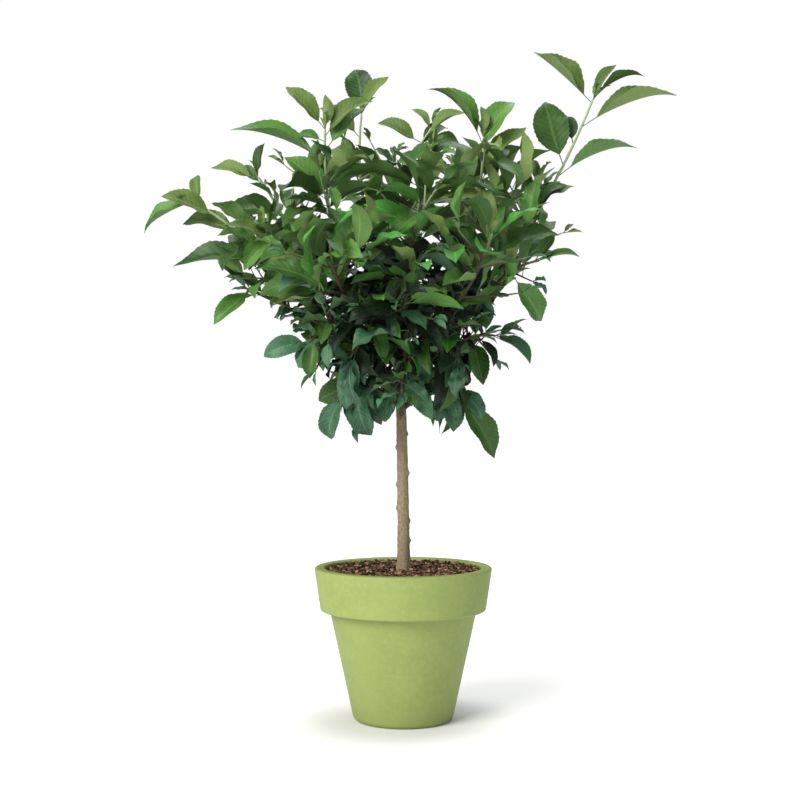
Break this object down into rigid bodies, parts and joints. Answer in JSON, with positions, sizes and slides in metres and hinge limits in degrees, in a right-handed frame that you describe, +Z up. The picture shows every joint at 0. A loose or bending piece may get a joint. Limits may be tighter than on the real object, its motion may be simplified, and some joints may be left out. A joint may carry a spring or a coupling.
{
  "type": "dwarf apple tree in a pot",
  "caption": "Dwarf apple tree in a round green pot: slim trunk, spreading boughs and leafy shoots over bark mulch.",
  "frame": {"origin": "centre of the pot's flat underside, at floor level", "axes": "+Z up along the trunk, front of the plant faces -Y, tallest shoot leans to +X"},
  "size_m": [0.6617, 0.4798, 0.8442],
  "materials": {
    "pot_green": "matte lime green",
    "bark_mulch": "rough, loose chips",
    "trunk_bark": "rough, faintly ringed",
    "bough_bark": "smooth young bark",
    "foliage_young": "soft satin",
    "foliage_green": "satin",
    "foliage_old": "satin, bluish"
  },
  "bodies": {
    "root": {"pot": "pot_green", "mulch": "bark_mulch", "trunk": "trunk_bark", "bough_leader": "bough_bark", "bough_left": "bough_bark", "bough_right": "bough_bark", "bough_back": "bough_bark", "bough_front": "bough_bark", "bough_low_left": "bough_bark", "bough_low_right": "bough_bark", "bough_left_upper": "bough_bark", "bough_left_high": "bough_bark", "bough_left_lower": "bough_bark", "bough_left_hanging": "bough_bark", "bough_right_upper": "bough_bark", "bough_right_front": "bough_bark", "bough_right_lower": "bough_bark", "bough_leader_front": "bough_bark", "bough_leader_back": "bough_bark", "bough_back_right": "bough_bark", "bough_back_left": "bough_bark", "bough_back_low": "bough_bark", "bough_front_left": "bough_bark", "bough_front_right": "bough_bark", "bough_inner_left": "bough_bark", "bough_inner_right": "bough_bark", "bough_inner_front": "bough_bark", "bough_inner_back": "bough_bark", "shoot_top_right": "foliage_young", "shoot_upper_right": "foliage_young", "spray_right_front": "foliage_green", "spray_right_low": "foliage_old", "shoot_upper_centre": "foliage_young", "shoot_back_top": "foliage_young", "shoot_upper_left": "foliage_young", "shoot_left_high": "foliage_young", "shoot_left": "foliage_young", "spray_left_low": "foliage_green", "spray_left_hanging": "foliage_old", "spray_low_left": "foliage_old", "spray_low_right": "foliage_old", "spray_front_upper": "foliage_young", "spray_front_left": "foliage_green", "spray_front_right": "foliage_green", "spray_front": "foliage_green", "shoot_back_right": "foliage_young", "spray_back_left": "foliage_green", "shoot_back": "foliage_young", "spray_inner_left": "foliage_old", "spray_inner_right": "foliage_old", "spray_inner_front": "foliage_old", "spray_inner_back": "foliage_old", "spray_back_low": "foliage_old"}
  },
  "joints": []
}
